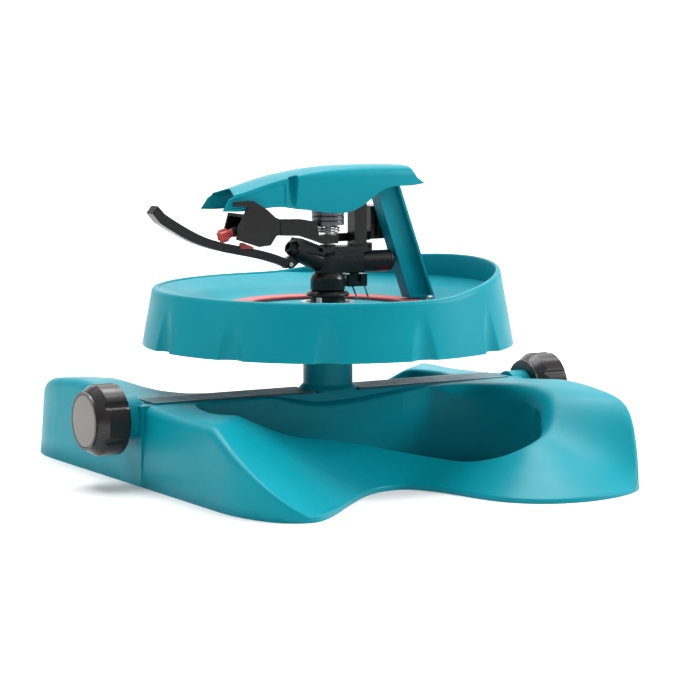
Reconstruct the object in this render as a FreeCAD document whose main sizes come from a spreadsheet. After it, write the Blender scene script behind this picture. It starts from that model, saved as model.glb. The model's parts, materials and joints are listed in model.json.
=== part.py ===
import FreeCAD, Part
import math
import os
import re
import Sketcher
from FreeCAD import Vector

# Impact sprinkler on a sled base. Millimetres, +Z up.
# X runs along the water pipe, from the capped end (-X) to the hose inlet (+X).
# The origin is on the ground, on the axis that the head turns about.

# Driving dimensions: every alias is a cell of the spreadsheet "Dimensions".
DIMENSIONS = {
    # water beam and its ends
    "pipe_height": 35.5, "overall_half": 148.2, "beam_half": 121.0, "beam_width_half": 13.0,
    "beam_top": 43.0, "beam_bottom": 22.0, "water_bore": 6.5, "strip_half": 11.3,
    "neck_radius": 9.8, "thread_radius": 13.13, "cap_bore": 13.2, "cap_radius": 19.0,
    "cap_small": 15.4, "cap_length": 19.0, "cap_wall": 2.6,
    # skids
    "skid_gap": 0.3, "skid_wall": 2.6, "crown_height": 5.0, "apron_foot": 2.5,
    # riser column and bearing
    "column_radius": 13.7, "column_top": 81.5, "spigot_radius": 12.0, "spigot_top": 91.9,
    "nipple_bore": 6.55, "tube_radius": 6.5, "tube_bore": 4.2, "run_gap": 0.07,
    # splash dish
    "skirt_radius": 102.1, "skirt_bottom": 69.1, "rim_radius": 96.4, "rim_height": 100.0,
    "lip_rise": 15.4, "lip_start": 20.0, "dish_floor": 88.3, "floor_radius": 67.5,
    "flute_radius": 9.0, "flute_ring": 107.0, "dish_wall": 2.4,
    # sector parts
    "ring_outer": 56.0, "ring_inner": 44.0, "ring_bottom": 88.7, "ring_thick": 1.2,
    # head
    "nozzle_height": 111.0, "nozzle_angle": 25.1, "barrel_radius": 5.6, "plug_height": 112.4,
    "plug_radius": 6.1, "bridge_floor": 121.8, "bridge_roof": 148.0, "bridge_width_half": 6.0,
    "pin_radius": 1.9, "drum_radius": 9.0, "drum_bottom": 133.6, "drum_top": 141.5,
    # hammer arm
    "arm_bottom": 123.6, "arm_top": 128.2, "arm_hub": 4.9, "weight_top": 142.4,
    "spoon_reach": 15.6, "spoon_wall": 1.6,
    # deflector
    "deflect_x": -25.5, "deflect_z": 113.2, "deflect_width": 8.0,
    # hood and post
    "hood_wall": 2.2, "post_width_half": 4.5, "post_wall": 1.7,
    # fasteners
    "screw_head": 2.7, "screw_shank": 1.45,
}

DOC = FreeCAD.newDocument("ImpactSprinkler")
SHEET = DOC.addObject("Spreadsheet::Sheet", "Dimensions")
NODES = []


def fill_sheet():
    for row, (alias, value) in enumerate(DIMENSIONS.items(), start=1):
        SHEET.set(f"A{row}", alias.replace("_", " "))
        SHEET.set(f"B{row}", str(value))
        SHEET.setAlias(f"B{row}", alias)
    DOC.recompute()


def cell(alias):
    """Value of one driving dimension, read from the sheet."""
    return float(SHEET.get(alias))


# ---------------------------------------------------------------- helpers

def bind(thing, prop, size):
    """Tie a property to an expression of sheet aliases; a number is a plain expression."""
    text = re.sub(r"[a-z]+(_[a-z]+)+", lambda match: "Dimensions." + match.group(0), str(size))
    thing.setExpression(prop, text)


TURNS = {
    "X": FreeCAD.Rotation(Vector(0, 1, 0), 90),
    "-X": FreeCAD.Rotation(Vector(0, 1, 0), -90),
    "Y": FreeCAD.Rotation(Vector(1, 0, 0), -90),
    "Z": FreeCAD.Rotation(),
    "-Z": FreeCAD.Rotation(Vector(1, 0, 0), 180),
}


def place(thing, at, axis="Z"):
    """Put a thing at a point, its own Z turned to the named axis or given a rotation."""
    rotation = TURNS[axis] if isinstance(axis, str) else axis
    thing.Placement = FreeCAD.Placement(Vector(), rotation)
    for letter, size in zip("xyz", at):
        bind(thing, f"Placement.Base.{letter}", size)
    return thing


def node(label, thing):
    thing.Label = label
    NODES.append(thing)
    return thing


def cylinder(radius, height, at=(0, 0, 0), axis="Z"):
    thing = DOC.addObject("Part::Cylinder", "Cylinder")
    bind(thing, "Radius", radius)
    bind(thing, "Height", height)
    return place(thing, at, axis)


def box(low, high):
    """Box between two corners, each side bound to the sheet."""
    thing = DOC.addObject("Part::Box", "Box")
    for prop, start, end in zip(("Length", "Width", "Height"), low, high):
        bind(thing, prop, f"({end}) - ({start})")
    return place(thing, low)


def fuse(*things):
    thing = DOC.addObject("Part::MultiFuse", "Fuse")
    thing.Shapes = list(things)
    return thing


def group(*things):
    """Several separate solids that share one node."""
    thing = DOC.addObject("Part::Compound", "Group")
    thing.Links = list(things)
    return thing


def cut(base, *tools):
    thing = DOC.addObject("Part::Cut", "Cut")
    thing.Base = base
    thing.Tool = tools[0] if len(tools) == 1 else fuse(*tools)
    return thing


def origin_plane(body, role):
    return next(item for item in body.Origin.OriginFeatures if item.Role == role)


def new_sketch(body, role):
    sketch = body.newObject("Sketcher::SketchObject", "Sketch")
    sketch.AttachmentSupport = [(origin_plane(body, role), "")]
    sketch.MapMode = "FlatFace"
    return sketch


def fix_point(sketch, edge, end, point):
    """Dimension a sketch point from the sketch's origin."""
    for kind, size in zip(("DistanceX", "DistanceY"), point):
        index = sketch.addConstraint(Sketcher.Constraint(kind, -1, 1, edge, end, 1.0))
        bind(sketch, f"Constraints[{index}]", size)


def polygon_sketch(body, role, corners):
    sketch = new_sketch(body, role)
    count = len(corners)
    step = 2 * math.pi / count
    start = [Vector(50 * math.cos(step * i), 50 * math.sin(step * i), 0) for i in range(count)]
    for i in range(count):
        sketch.addGeometry(Part.LineSegment(start[i], start[(i + 1) % count]), False)
    for i in range(count):
        sketch.addConstraint(Sketcher.Constraint("Coincident", i, 2, (i + 1) % count, 1))
    for i, corner in enumerate(corners):
        fix_point(sketch, i, 1, corner)
    return sketch


def turned(profile, at=(0, 0, 0), axis="Z"):
    """Body revolved from (radius, height) corners about its own Z."""
    body = DOC.addObject("PartDesign::Body", "Turned")
    sketch = polygon_sketch(body, "XZ_Plane", profile)
    feature = body.newObject("PartDesign::Revolution", "Revolution")
    feature.Profile = sketch
    feature.ReferenceAxis = (sketch, ["V_Axis"])
    feature.Angle = 360
    return place(body, at, axis)


def padded(role, corners, length, at):
    body = DOC.addObject("PartDesign::Body", "Padded")
    feature = body.newObject("PartDesign::Pad", "Pad")
    feature.Profile = polygon_sketch(body, role, corners)
    bind(feature, "Length", length)
    return place(body, at)


def side_slab(corners, low, high):
    """Side-view outline (x, z), padded from y = low to y = high."""
    return padded("XZ_Plane", corners, f"({high}) - ({low})", (0, high, 0))


def plan_slab(corners, low, high):
    """Plan-view outline (x, y), padded from z = low to z = high."""
    return padded("XY_Plane", corners, f"({high}) - ({low})", (0, 0, low))


def ring(inner, outer, low, high):
    return turned([(inner, low), (outer, low), (outer, high), (inner, high)])


def rod(start, end, radius):
    """Round bar from one point to another."""
    line = Vector(*end) - Vector(*start)
    turn = FreeCAD.Rotation(Vector(0, 0, 1), line)
    return cylinder(radius, line.Length, start, turn)


def shape_node(label, shape):
    """Node whose outline neither sketches nor primitives can carry."""
    thing = DOC.addObject("Part::Feature", label)
    thing.Shape = shape
    return thing


def coil(radius, wire, pitch, turns, low):
    """Round-wire helical spring standing on z = low."""
    path = Part.makeHelix(pitch, pitch * turns, radius)
    section = Part.Wire(Part.makeCircle(wire, Vector(radius, 0, 0), Vector(0, 1, 0)))
    shape = Part.Wire(path.Edges).makePipeShell([section], True, True)
    thing = shape_node("Coil", shape)
    thing.Placement = FreeCAD.Placement(Vector(0, 0, low), FreeCAD.Rotation())
    return thing


def screw(at, axis, length):
    """Pan-head screw: the head outside the point, the shank running along the axis."""
    profile = [(0, -1.8), ("screw_head - 0.6", -1.8), ("screw_head", -1.2), ("screw_head", 0),
               ("screw_shank", 0), ("screw_shank", length), (0, length)]
    return turned(profile, at, axis)


# ---------------------------------------------------------------- skids

# Front foot line at ground level, from the small left foot round the waist to the big right foot.
FOOT_LINE = [(-121, -96), (-120.4, -110), (-116, -129), (-106, -145), (-95, -150), (-83, -144),
             (-61, -123), (-38, -101), (-18, -89), (-3, -90), (6, -104), (12, -127), (20, -149),
             (35, -163), (56, -168), (80, -164), (99, -153), (112.5, -135), (119.5, -116), (121, -100)]
# The apron rises from this line; its left end runs straight on past the small foot.
APRON_LINE = [(-140, -184), (-97, -151)] + FOOT_LINE[6:17]
# Curved side of the grip opening, from the beam round to the beam again.
GRIP_LINE = [(-93, -18), (-98, -40), (-92, -59), (-74, -62), (-48, -54), (-22, -48), (2, -58),
             (20, -78), (33, -104), (48, -115), (66, -109), (82, -90), (87, -62), (78, -33), (56, -18)]


def spline(points, height=0.0):
    curve = Part.BSplineCurve()
    curve.interpolate([Vector(x, y, height) for x, y in points])
    return curve


def smooth_step(low, high, value):
    share = min(max((value - low) / (high - low), 0.0), 1.0)
    return share * share * (3 - 2 * share)


def deck_height(x, y, apron_points):
    """Height of the skid's top: a nearly flat deck that falls away as an apron to the foot line."""
    reach = min(math.hypot(px - x, py - y) for px, py in apron_points)
    slope = 0.62 - 0.14 * smooth_step(-80, -10, x) + 0.9 * smooth_step(70, 121, x)
    apron = cell("apron_foot") + slope * reach
    crown = math.exp(-(((x - 118) / 45) ** 2) - ((y + 72) / 38) ** 2)
    dip = smooth_step(60, 115, -x) * smooth_step(13, 60, -y)
    flat = cell("beam_top") + cell("crown_height") * crown - 1.5 * dip
    blend = 2.2
    return -blend * math.log(math.exp(-flat / blend) + math.exp(-apron / blend))


def under_deck(drop):
    """Solid below the deck surface, which is lowered by drop."""
    line = spline(APRON_LINE)
    first, last = line.FirstParameter, line.LastParameter
    spots = [line.value(first + (last - first) * i / 300) for i in range(301)]
    apron_points = [(spot.x, spot.y) for spot in spots]
    grid = []
    for x in range(-130, 131, 8):
        column = [Vector(x, y, deck_height(x, y, apron_points) - drop) for y in range(-180, 1, 6)]
        grid.append(column)
    surface = Part.BSplineSurface()
    surface.interpolate(grid)
    return surface.toShape().extrude(Vector(0, 0, -80))


def plan_wire(scale, inner_y, height):
    """Skid outline in plan, scaled about the sprinkler's axis."""
    points = [(x * scale, y * scale) for x, y in FOOT_LINE]
    curve = spline(points, height)
    left, right = points[0], points[-1]
    corners = [Vector(right[0], right[1], height), Vector(right[0], inner_y, height),
               Vector(left[0], inner_y, height), Vector(left[0], left[1], height)]
    edges = [curve.toShape()] + [Part.makeLine(a, b) for a, b in zip(corners, corners[1:])]
    return Part.Wire(edges)


def plan_solid(scale, inner_y, low):
    """Skid outline drawn up with a little draft."""
    draft = 0.975
    wires = [plan_wire(scale, inner_y, low), plan_wire(scale * draft, inner_y, 60)]
    return Part.makeLoft(wires, True, True)


def grip_solid(margin):
    """The grip opening as a solid, grown by margin."""
    curve = spline(GRIP_LINE)
    first, last = curve.FirstParameter, curve.LastParameter
    points = []
    for i in range(41):
        parameter = first + (last - first) * i / 40
        spot = curve.value(parameter)
        tangent = curve.tangent(parameter)[0]
        points.append((spot.x + margin * tangent.y, spot.y - margin * tangent.x))
    back = -18.0 + margin
    points[0] = (points[0][0], back)
    points[-1] = (points[-1][0], back)
    edge = spline(points, -5.0).toShape()
    closing = Part.makeLine(Vector(points[-1][0], back, -5), Vector(points[0][0], back, -5))
    face = Part.Face(Part.Wire([edge, closing]))
    return face.extrude(Vector(0, 0, 70))


def skid_shape():
    wall = cell("skid_wall")
    inner_y = -(cell("beam_width_half") + cell("skid_gap"))
    outer = plan_solid(1.0, inner_y, 0).common(under_deck(0))
    inner_scale = 1 - wall / cell("beam_half")
    cavity = plan_solid(inner_scale, inner_y - wall, -1).common(under_deck(wall + 0.5))
    cavity = cavity.cut(grip_solid(wall))
    shell = outer.cut(cavity).cut(grip_solid(0))
    for x in (-60, 60):
        lug = Part.makeBox(14, 16, 4, Vector(x - 7, inner_y - 3, 17.8))
        web = Part.makeBox(3, 4.6, 26, Vector(x - 1.5, inner_y - 4.6, 17.8))
        shell = shell.fuse([lug, web])
        shell = shell.cut(Part.makeCylinder(cell("screw_shank") + 0.1, 10, Vector(x, -7, 15)))
    return shell.removeSplitter()


def make_skids():
    front = node("front_skid", shape_node("front_skid", skid_shape()))
    rear = node("rear_skid", shape_node("rear_skid", front.Shape.copy()))
    rear.Placement = FreeCAD.Placement(Vector(), FreeCAD.Rotation(Vector(0, 0, 1), 180))
    spots = [(-60, -7), (60, -7), (-60, 7), (60, 7)]
    screws = [screw((x, y, 17.7), "Z", 12) for x, y in spots]
    node("skid_screws", group(*screws))


# ---------------------------------------------------------------- beam, ends, column

def make_beam():
    body = box(("5 - beam_half", "-beam_width_half", "beam_bottom"),
               ("beam_half - 5", "beam_width_half", "beam_top"))
    plates = [box((low, "-beam_width_half", 0), (high, "beam_width_half", "beam_top"))
              for low, high in (("-beam_half", "5 - beam_half"), ("beam_half - 5", "beam_half"))]
    outlet = turned([(0, 118), ("neck_radius + 1.5", 118), ("neck_radius + 1.5", 127),
                     ("thread_radius", 128.8), ("thread_radius", 142.6), (0, 142.6)],
                    (0, 0, "pipe_height"), "-X")
    inlet = turned([(0, 118), ("neck_radius", 118), ("neck_radius", 132.7),
                    ("cap_bore - 1.2", 132.7), ("cap_bore - 1.2", 134.6), (0, 134.6)],
                   (0, 0, "pipe_height"), "X")
    solid = fuse(body, *plates, outlet, inlet)
    bore = cylinder("water_bore", 300, (-150, 0, "pipe_height"), "X")
    socket = cylinder(10.05, 20, (0, 0, 36.8))
    recesses = [box((low, "-strip_half - 0.1", "beam_top - 1.2"), (high, "strip_half + 0.1", 60))
                for low, high in ((-112.1, -13.9), (13.9, 112.1))]
    holes = [cylinder("screw_shank + 0.05", 14, (x, y, 17)) for x in (-60, 60) for y in (-7, 7)]
    node("pipe_beam", cut(solid, bore, socket, *recesses, *holes))


def make_strips():
    strips = []
    for low, high in ((-112, -14), (14, 112)):
        bar = box((low, "-strip_half", "beam_top - 1.2"), (high, "strip_half", "beam_top + 1"))
        grooves = [box((low - 1, y - 0.6, "beam_top + 0.2"), (high + 1, y + 0.6, "beam_top + 3"))
                   for y in (-6.6, -2.2, 2.2, 6.6)]
        flare = cylinder(16.2, 10, (0, 0, 40))
        strips.append(cut(bar, *grooves, flare))
    node("deck_strips", group(*strips))


def make_column():
    node("riser_column", turned([
        ("water_bore", 38), (10, 38), (10, "beam_top + 0.2"), (15.9, "beam_top + 0.2"),
        (15.9, "beam_top + 1.2"), ("column_radius", "beam_top + 3.4"),
        ("column_radius", "column_top"), (9, "column_top"), (9, 66), (9.5, 66), (9.5, 56),
        ("water_bore", 54)]))
    node("column_seal", ring("water_bore + 0.2", 9.9, 36.9, 37.9))


def make_bearing():
    node("bearing_nipple", turned([
        ("nipple_bore", 66.5), (8.9, 66.5), (8.9, "column_top + 0.8"),
        ("spigot_radius", "column_top + 0.8"), ("spigot_radius", "spigot_top"),
        (9.6, "spigot_top"), (9.6, 94.3), ("nipple_bore", 94.3)]))
    node("nipple_seal", ring(9.1, 13.2, "column_top", "column_top + 0.75"))
    node("bearing_tube", turned([
        ("tube_bore", 58), (8.6, 58), (8.6, 60), ("tube_radius", 60), ("tube_radius", 107.2),
        (5.6, 107.2), (5.6, 111), ("tube_bore", 111)]))
    washers = [ring("tube_radius + 0.1", 8.5, low, high)
               for low, high in ((60.1, 61.9), (62.0, 64.0), (64.1, 66.1))]
    node("thrust_washers", group(*washers))
    node("dust_flange", turned([
        ("tube_radius + 0.1", 94.6), (11.8, 94.6), (11.8, 95.8), (10.4, 97.3),
        ("tube_radius + 0.1", 97.3)]))
    node("dust_sleeve", turned([
        (8.4, 97.4), (9.0, 97.4), (9.6, 98.6), (9.6, 103.8), (9.0, 105.6), (7.6, 107.4),
        ("tube_radius + 0.1", 107.4), ("tube_radius + 0.1", 105.4), (8.4, 105.4)]))
    node("bearing_spring", coil(7.5, 0.55, 2.0, 3.4, 98.1))


def grip_profile():
    """Outer wall of a hose coupling: a ramp from the small end to the full radius."""
    return [(0, 0), ("cap_small", 0), ("cap_small", 1.4), ("cap_small + 0.6", 2), ("cap_radius", 6.5),
            ("cap_radius", "cap_length - 0.8"), ("cap_radius - 0.8", "cap_length"),
            (0, "cap_length")]


def valleys(start):
    """Six narrow valleys between the grip's lobes."""
    return [cylinder(3.2, 30, (start, f"21 * sin({60 * i})", f"pipe_height + 21 * cos({60 * i})"), "X")
            for i in range(6)]


def make_end_cap():
    outside = turned(grip_profile(), ("-overall_half", 0, "pipe_height"), "X")
    hollow = cylinder("cap_bore", 30, ("cap_wall - overall_half", 0, "pipe_height"), "X")
    recess = cylinder("cap_small - 1.6", 1.2, ("-overall_half", 0, "pipe_height"), "X")
    node("end_cap", cut(outside, hollow, recess, *valleys("2 - overall_half")))
    node("cap_disc", cylinder("cap_small - 1.7", 1.15, ("-overall_half", 0, "pipe_height"), "X"))
    node("cap_washer", turned([(7.5, 0), (12.9, 0), (12.9, 2.3), (7.5, 2.3)],
                              ("cap_wall + 0.05 - overall_half", 0, "pipe_height"), "X"))


def make_coupling():
    outside = turned(grip_profile(), ("overall_half - cap_length", 0, "pipe_height"), "X")
    hole = cylinder("neck_radius + run_gap", 30, (125, 0, "pipe_height"), "X")
    cavity = cylinder("cap_bore - 0.3", 30, (132.2, 0, "pipe_height"), "X")
    thread = cylinder("cap_bore", 30, (138, 0, "pipe_height"), "X")
    node("hose_coupling", cut(outside, hole, cavity, thread, *valleys("overall_half - cap_length + 2")))
    node("coupling_washer", turned([(7.5, 135.1), (12.7, 135.1), (12.7, 137.7), (7.5, 137.7)],
                                   (0, 0, "pipe_height"), "X"))


# ---------------------------------------------------------------- splash dish and sector parts

def flutes(radius):
    return [cylinder(radius, 60, (f"flute_ring * cos({30 * i})", f"flute_ring * sin({30 * i})", 60))
            for i in range(12)]


def make_dish():
    crest = "rim_radius - (skirt_radius - rim_radius) * lip_rise / (rim_height - skirt_bottom)"
    top = "rim_height + lip_rise"
    full = turned([(0, "skirt_bottom"), ("skirt_radius", "skirt_bottom"), (crest, top), (0, top)])
    bowl = turned([(0, "dish_floor"), ("floor_radius", "dish_floor"), (78, 94.2), (88, 98),
                   (93, 100.6), (f"{crest} - dish_wall", 118), (0, 118)])
    under = turned([(15.5, 60), ("skirt_radius - dish_wall + 1.6", 60),
                    ("skirt_radius - dish_wall", "skirt_bottom"), (94.7, 96), (93.4, 96.8), (87, 95.1),
                    (77.3, 91.6), (66.5, "dish_floor - dish_wall"), (15.5, "dish_floor - dish_wall")])
    under = cut(under, *flutes("flute_radius + dish_wall - 0.4"))
    hub_gap = cylinder(16, 23, (0, 0, 60))
    bore = cylinder("spigot_radius + run_gap", 60, (0, 0, 60))
    above = side_slab([(-130, "rim_height"), ("lip_start", "rim_height"), (110, 115.4), (130, 118.8),
                       (130, 130), (-130, 130)], -130, 130)
    node("splash_dish", cut(full, bowl, under, hub_gap, bore, above, *flutes("flute_radius")))


def make_sector_ring():
    low, high = "ring_bottom", "ring_bottom + ring_thick"
    hub = ring("spigot_radius + run_gap", 16, low, high)
    spokes = [cylinder(2.4, "ring_inner - 12", ("14 * cos(%d)" % a, "14 * sin(%d)" % a, 89.3),
                       FreeCAD.Rotation(Vector(0, 0, 1), Vector(math.cos(math.radians(a)),
                                                               math.sin(math.radians(a)), 0)))
              for a in (68, 188, 308)]
    slab = ring("spigot_radius + run_gap", "ring_inner", low, high)
    cropped = DOC.addObject("Part::MultiCommon", "Common")
    cropped.Shapes = [fuse(*spokes), slab]
    stop = cylinder(1.6, 5.2, ("25 * cos(68)", "25 * sin(68)", "ring_bottom + ring_thick - 0.4"))
    node("sector_carrier", fuse(hub, cropped, stop))
    red = turned([("ring_inner + 0.05", low), ("ring_outer", low), ("ring_outer", high),
                  ("ring_outer - 0.6", "ring_bottom + ring_thick + 0.5"),
                  ("ring_inner + 0.6", "ring_bottom + ring_thick + 0.5"), ("ring_inner + 0.05", high)])
    node("sector_ring", red)


def make_sector_collar():
    low, high = 90.3, 91.5
    hub = ring("spigot_radius + run_gap", 15, low, high)
    tab = plan_slab([(-9, -11), (-11, -9), (-14.8, -12.6), (-12.6, -14.8)], low, high)
    stop = cylinder(1.5, 4.6, ("18.2 * cos(225)", "18.2 * sin(225)", low))
    node("sector_collar", fuse(hub, tab, stop))


# ---------------------------------------------------------------- head

def nozzle_turn():
    angle = math.radians(cell("nozzle_angle"))
    return FreeCAD.Rotation(Vector(0, 0, 1), Vector(-math.cos(angle), 0, math.sin(angle)))


def along_nozzle(profile):
    return turned(profile, (0, 0, "nozzle_height"), nozzle_turn())


def make_head_body():
    half = "bridge_width_half"
    barrel = cylinder(7.6, 9, (0, 0, 107.5))
    shoulder = turned([(0, 116), (7.6, 116.5), (5, 119.5), (0, 119.5)])
    block = box((0.4, -7, 107.5), (18.9, 7, 118.9))
    nozzle = along_nozzle([(0, 3.9), ("barrel_radius", 3.9), ("barrel_radius", 20), (5, 23), (0, 23)])
    sill = box((-5.2, f"-{half}", 118.4), (22.5, half, "bridge_floor"))
    pawl_lug = box((22, -4, 118.4), (26, 5.6, 123))
    ramp = side_slab([(-5, 117), (-5, "bridge_floor"), (-19.5, 127.2), (-22.3, 121.2)], f"-{half}", half)
    column = box((14.8, -4, 118), (22.5, 4, "bridge_roof + 3"))
    roof = box((-6, f"-{half}", "bridge_roof"), (22.5, half, "bridge_roof + 3"))
    rear = cylinder("plug_radius", 25.3, (12, 0, "plug_height"), "X")
    trip_lug = box((15.4, -2.6, 101.9), (18.4, 2.6, 109))
    deflect_lug = side_slab([("deflect_x - 2.4", 110.9), ("deflect_x + 3", 110.9), (-17, 115),
                             (-20, 119), ("deflect_x - 2.4", 116)], -1.8, 1.8)
    solid = fuse(barrel, shoulder, block, nozzle, sill, ramp, column, roof, rear, trip_lug,
                 deflect_lug, pawl_lug)
    bores = [cylinder(5.65, 4, (0, 0, 107)), cylinder("tube_bore", 3, (0, 0, 110.5)),
             along_nozzle([(0, 0), (3.2, 0), (3.2, 30), (0, 30)]),
             cylinder(3.5, 40, (0, 0, "plug_height"), "X"),
             cylinder(5, 2, (36.1, 0, "plug_height"), "X"),
             cylinder("pin_radius + 0.02", 40, (0, 0, 119.5)),
             cylinder(1.03, 20, (10, 0, 104.2), "X"),
             cylinder(1.23, 20, ("deflect_x", -10, "deflect_z"), "Y"),
             cylinder(1.5, 20, (10, 0, 140))]
    clearances = [cylinder(0.93, 20, (24, -10, 121), "Y"),
                  along_nozzle([(0, 23.05), (4.7, 23.05), (4.7, 32), (0, 32)])]
    windows = [side_slab([(-6, 119.2), (-7, 121.2), (-18.9, 125.8), (-20.6, 122.2)], low, high)
               for low, high in ((-7, -3.5), (3.5, 7))]
    node("head_body", cut(cut(cut(solid, *bores), *clearances), *windows))


def make_nozzle():
    node("nozzle_tip", along_nozzle([(2.2, 27.5), (2.8, 17), (3.15, 17), (3.15, 23.1), (4.4, 23.1),
                                     (4.4, 25), (3.4, 27.5)]))
    vanes = []
    for angle in (0, 90):
        blade = DOC.addObject("Part::Box", "Blade")
        for prop, size in zip(("Length", "Width", "Height"), (6, 0.6, 8)):
            bind(blade, prop, size)
        turn = nozzle_turn().multiply(FreeCAD.Rotation(Vector(0, 0, 1), angle))
        corner = Vector(0, 0, cell("nozzle_height")) + turn.multVec(Vector(-3, -0.3, 7))
        vanes.append(place(blade, tuple(corner), turn))
    node("stream_straightener", fuse(*vanes))
    node("rear_plug", turned([(0, 30), (3.4, 30), (3.4, 37.4), ("plug_radius", 37.4), ("plug_radius", 38.6),
                              (4.4, 40.4), (0, 40.4)], (0, 0, "plug_height"), "X"))
    node("plug_seal", turned([(3.5, 36.2), (4.9, 36.2), (4.9, 37.3), (3.5, 37.3)],
                             (0, 0, "plug_height"), "X"))


def make_fulcrum():
    node("fulcrum_pin", cylinder("pin_radius", 31, (0, 0, 119.6)))
    node("spring_drum", turned([
        ("pin_radius + 0.02", "drum_top"), ("pin_radius + 0.02", "drum_top - 2"),
        (7.4, "drum_top - 2"), (7.4, "drum_bottom"), ("drum_radius", "drum_bottom"),
        ("drum_radius", "drum_bottom + 2.2"), ("drum_radius - 0.4", "drum_bottom + 2.6"),
        ("drum_radius", "drum_bottom + 3"), ("drum_radius", "drum_bottom + 4.8"),
        ("drum_radius - 0.4", "drum_bottom + 5.2"), ("drum_radius", "drum_bottom + 5.6"),
        ("drum_radius", "drum_top")]))
    node("drum_cap", turned([
        ("pin_radius + 0.02", "drum_top + 0.1"), (7, "drum_top + 0.1"), (7, 144), (4.5, 145),
        (4.5, "bridge_roof - 0.1"), ("pin_radius + 0.02", "bridge_roof - 0.1")]))
    node("arm_spring", coil(6.2, 0.55, 1.45, 2.6, 129.2))
    node("arm_washer", ring("pin_radius + 0.05", 4.4, "bridge_floor + 0.05", "bridge_floor + 0.9"))


# ---------------------------------------------------------------- hammer arm

def make_arm():
    hub = cylinder("arm_hub", "arm_top - arm_bottom", (0, 0, "arm_bottom"))
    front = side_slab([(3, "arm_bottom"), (3, "arm_top"), (-9, "arm_top"), (-10.4, 135.8),
                       (-19.7, 137.7), (-33, 138.1), (-33, 129.2), (-21, 128.6), (-12.2, 125.8),
                       (-6, "arm_bottom")], -6.5, -2.5)
    lever = plan_slab([(-1, 3), (9, 4.4), (26, 4.4), (31, 6.5), (31, 12), (22, 9), (10, 8.4), (0, 4.8)],
                      "arm_bottom", "arm_top")
    bore = cylinder(2.65, 20, (0, 0, 118))
    node("hammer_arm", cut(fuse(hub, front, lever), bore))
    node("arm_bush", ring("pin_radius + 0.05", 2.62, "arm_bottom - 0.1", "arm_top + 0.1"))


def make_counterweight():
    block = plan_slab([(31.1, 6.2), (36, 6.0), (46.6, 8), (44, 17), (36.5, 22), (31.1, 20)],
                      124, "weight_top")
    gaps = [box((34 + 3.1 * i, 0, 126), (35.5 + 3.1 * i, 8.6, "weight_top - 1.6")) for i in range(4)]
    node("counterweight", cut(block, *gaps))


KNOB_TILT = 14
KNOB_SIDE = -8.2


def along_knob(thing, offset):
    """Put a thing on the knob pin's axis, offset millimetres out from the spoon."""
    turn = FreeCAD.Rotation(Vector(0, 1, 0), -90 - KNOB_TILT)
    way = turn.multVec(Vector(0, 0, 1))
    return place(thing, (-60 + offset * way.x, KNOB_SIDE, 133 + offset * way.z), turn)


def make_spoon():
    """Open box that the jet strikes, with an outer plate beside the hood and a vane down its middle."""
    outside = side_slab([(-63.5, 130.6), (-46, 127.4), (-38.7, 132), (-39.5, 139.5), (-60, 142.2)],
                        "-spoon_reach", 3.5)
    hollow = side_slab([(-70, 133.2), (-46.2, 129.1), (-30, 129.1), (-30, 136.7), (-70, 141.7)],
                       "spoon_wall - spoon_reach", "3.5 - spoon_wall")
    plate = side_slab([(-54.6, 149.2), (-46.1, 144.2), (-39.6, 138.7), (-38.7, 132.5), (-44.2, 125),
                       (-51, 124.4), (-64.6, 128.8), (-63.2, 136), (-57.6, 146.4), (-66.4, 146.4),
                       (-66.4, 149.2)], "-spoon_reach", "spoon_wall - spoon_reach")
    vane = side_slab([(-50, 131.2), (-38, 128.8), (-33.1, 129.4), (-33.1, 137.9), (-41, 139.3), (-50, 140.5)],
                     -6.2, -2.8)
    seat = along_knob(cylinder(2.6, 8.5, (0, 0, 0)), -5)
    bore = along_knob(cylinder(1.12, 26, (0, 0, 0)), -7)
    node("drive_spoon", cut(fuse(cut(outside, hollow), plate, vane, seat), bore))
    node("knob_pin", along_knob(cylinder(1.1, 16, (0, 0, 0)), -6.5))


def make_knob():
    """Six-pointed star knob on the pin."""
    points = []
    for i in range(12):
        reach = 3.9 if i % 2 == 0 else 2.5
        points.append((f"{reach} * cos({30 * i})", f"{reach} * sin({30 * i})"))
    star = along_knob(padded("XY_Plane", points, 5, (0, 0, 0)), 6.8)
    collar = along_knob(cylinder(2.3, 3, (0, 0, 0)), 4.2)
    bore = along_knob(cylinder(1.15, 12, (0, 0, 0)), -2)
    node("diffuser_knob", cut(fuse(star, collar), bore))


# ---------------------------------------------------------------- deflector

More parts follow.
